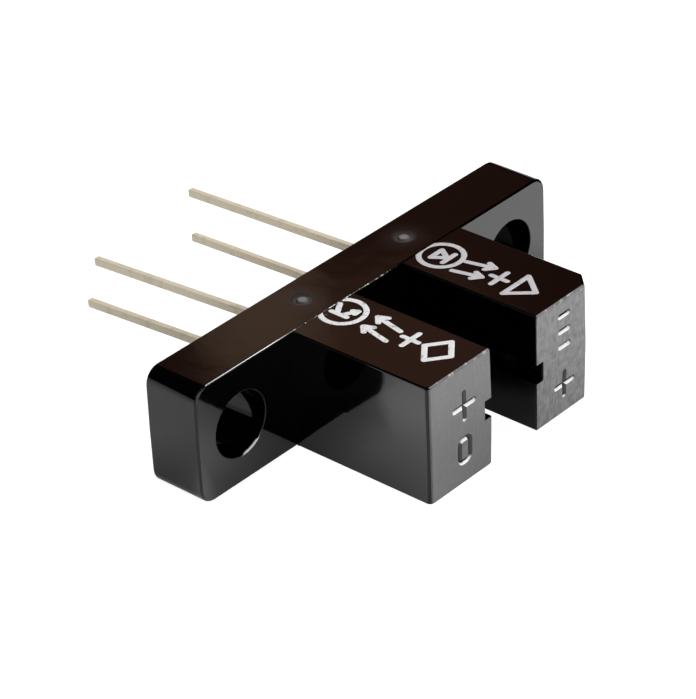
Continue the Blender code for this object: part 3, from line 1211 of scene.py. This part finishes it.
@dataclass(frozen=True)
class Lamp:
    """A soft rectangular lamp aimed at the part: its place in degrees and millimetres, size and power."""

    name: str
    azimuth: float
    elevation: float
    size: Pair
    watts: float
    distance: float = 320.0

    def build(self) -> None:
        """Adds the lamp."""
        data = bpy.data.lights.new(self.name, "AREA")
        data.shape, data.energy = "RECTANGLE", self.watts
        data.size, data.size_y = (side * MM for side in self.size)
        back = Matrix.Translation((0.0, 0.0, self.distance * MM))
        new_object(self.name, data).matrix_world = aimed(self.azimuth, self.elevation) @ back


@dataclass
class Camera:
    """The camera at the photograph's place, solved from the flange's edges and holes."""

    position: Point = (-88.723, -81.645, 72.779)
    azimuth: float = -47.696
    elevation: float = 31.813
    roll: float = -2.578
    lens: float = 155.878
    clip: Pair = (0.005, 5.0)

    def build(self) -> None:
        """Adds the camera and makes it the scene's."""
        data = bpy.data.cameras.new("camera")
        data.lens = self.lens
        data.clip_start, data.clip_end = self.clip
        made = new_object("camera", data)
        turn = aimed(self.azimuth, self.elevation, self.roll)
        made.matrix_world = Matrix.Translation(Vector(self.position) * MM) @ turn
        bpy.context.scene.camera = made


@dataclass
class Floor:
    """White floor and its low round wall, which the camera and glass see at full level."""

    level: float = -3.1
    radius: float = 420.0
    bend: float = 60.0
    wall: float = 75.0
    hub: float = 0.5
    rings: int = 24
    bend_rings: int = 12
    sides: int = 96
    colour: Colour = (0.45, 0.45, 0.45)
    roughness: float = 0.9
    direct: float = 0.88
    part: Point = (0.0, -6.0, -3.1)
    flange_end: float = 12.0
    flange_middle: float = 1.5
    flange_shade: Step = Step(0.0, 4.0, 0.35, 1.0)
    corner_shade: Step = Step(-15.6, -13.4, 1.0, 0.0)
    part_shade: Step = Step(3.0, 12.0)
    back_shade_y: Step = Step(-6.0, 2.0, 1.1, 0.35)

    def build(self) -> Piece:
        """Makes a flat disc, a quarter-round and an upright, turned about Z.

        The profile is radius and height by arc length; each point turns through the full circle.

        Returns:
            The floor.
        """
        turn = np.linspace(0.0, 2 * pi, self.sides, endpoint=False)
        curve = np.linspace(0.0, pi / 2, self.bend_rings)[1:]
        disc, rim = np.linspace(self.hub, self.radius, self.rings), self.radius + self.bend
        out = np.concatenate([disc, self.radius + self.bend * np.sin(curve), [rim]])
        up = np.concatenate([np.zeros(self.rings), self.bend * (1 - np.cos(curve)), [self.wall]]) + self.level
        heights = np.broadcast_to(up[:, None], (len(out), self.sides))
        points = np.stack([out[:, None] * np.cos(turn), out[:, None] * np.sin(turn), heights], -1)
        quads = grid_quads(len(out), self.sides, False)[:, [0, 3, 2, 1]]
        mesh = bpy.data.meshes.new("studio_sweep")
        faces = [*quads.tolist(), list(range(self.sides))]
        mesh.from_pydata((points.reshape(-1, 3) * MM).tolist(), [], faces)
        mesh.shade_smooth()
        floor = new_object("studio_sweep", mesh)
        floor.data.materials.append(self.white())
        return floor

    def white(self) -> Material:
        """White that the camera and glass see at full level, with the object's shadow kept.

        Gloss sees it too, less so right beside the part, where the floor is shaded from the room.

        Returns:
            The material.
        """
        made, n, shader, where = new_material("studio white")
        path = n.add("LightPath").outputs
        x, y, _ = n.split(where)
        beyond_end = n.minus(n.size(x), self.flange_end * MM)
        beyond_face = n.minus(n.size(n.plus(y, self.flange_middle * MM)), self.flange_middle * MM)
        shade = n.along(n.most(beyond_end, beyond_face), self.flange_shade)
        shade = n.most(shade, n.along(n.plus(x, y), self.corner_shade))
        open_floor = n.along(n.against("DISTANCE", where, Vector(self.part) * MM), self.part_shade)
        open_floor = n.times(open_floor, shade, n.along(y, self.back_shade_y))
        direct = n.times(n.most(path["Is Camera Ray"], path["Is Transmission Ray"]), self.direct)
        mirrored = n.times(path["Is Glossy Ray"], open_floor)
        n.fill(
            shader,
            Base_Color=self.colour,
            Roughness=self.roughness,
            Specular_IOR_Level=0.0,
            Emission_Color=(1.0, 1.0, 1.0),
            Emission_Strength=n.most(direct, mirrored),
        )
        return made


@dataclass
class Studio:
    """White floor, dim room with a warm far wall, soft lamps and the camera."""

    room: Colour = (0.006, 0.0055, 0.0055)
    warm: Colour = (0.1, 0.042, 0.028)
    warm_spread: Step = Step(0.985, 0.9975)
    amber: Colour = (0.27, 0.125, 0.088)
    amber_from: Point = (0.638, 0.555, 0.534)
    amber_spread: Step = Step(0.99897, 0.9999)
    glow: Colour = (0.5, 0.31, 0.21)
    glow_from: Point = (0.6137, 0.5969, 0.517)
    glow_spread: Step = Step(0.99955, 0.99998)
    floor: Floor = field(default_factory=Floor)
    camera: Camera = field(default_factory=Camera)
    lamps: tuple[Lamp, ...] = (
        Lamp("overhead", 75.0, 50.0, (110.0, 70.0), 0.7),
        Lamp("front right", 50.0, 34.0, (80.0, 80.0), 0.3),
        Lamp("front left", -24.0, 27.0, (130.0, 80.0), 0.5),
        Lamp("left", -100.0, 45.0, (160.0, 120.0), 0.15),
    )

    def light_room(self) -> None:
        """Makes the world: the room's colour, turned warm, amber and then bright close to two directions.

        How close a direction is to another is the dot product of the two, which is 1 where they are the same.
        """
        world = bpy.data.worlds.new("dim room")
        world.use_nodes = True
        n = Nodes(world.node_tree)
        where = n.add("TexCoord").outputs["Generated"]
        ways = (Vector(way).normalized() for way in (self.glow_from, self.amber_from))
        aim, beside = (n.against("DOT_PRODUCT", where, way) for way in ways)
        colour = n.blend(n.ramp(aim, self.warm_spread), self.room, self.warm)
        colour = n.blend(n.ramp(beside, self.amber_spread), colour, self.amber)
        colour = n.blend(n.ramp(aim, self.glow_spread), colour, self.glow)
        n.fill(world.node_tree.nodes["Background"], Color=colour)
        bpy.context.scene.world = world

    def build(self) -> None:
        """Sets up the whole studio."""
        self.floor.build()
        self.light_room()
        for lamp in self.lamps:
            lamp.build()
        self.camera.build()
        bpy.context.scene.view_settings.view_transform = "Standard"


def main() -> None:
    """Builds and dresses the switch, then sets up the studio."""
    logging.basicConfig(level=logging.INFO, format="%(name)s: %(message)s")
    shared = Effects()
    housing = Housing()
    housing.build(shared)
    TopPrint().build(housing, shared)
    strip, die, gold = (finish.make(shared) for finish in (TinnedStrip(), PolishedDie(), GoldWire()))
    dark = TintedEpoxy("dark epoxy", (0.03, 0.03, 0.035))
    blue = TintedEpoxy("blue epoxy", (0.01, 0.014, 0.024))
    detector = Contents(Side.DETECTOR, ("collector", "emitter"), dark)
    emitter = Contents(Side.EMITTER, ("cathode", "anode"), blue)
    for contents in (detector, emitter):
        contents.build(shared, strip, die, gold)
    Studio().build()


if __name__ == "__main__":
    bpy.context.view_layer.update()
    main()
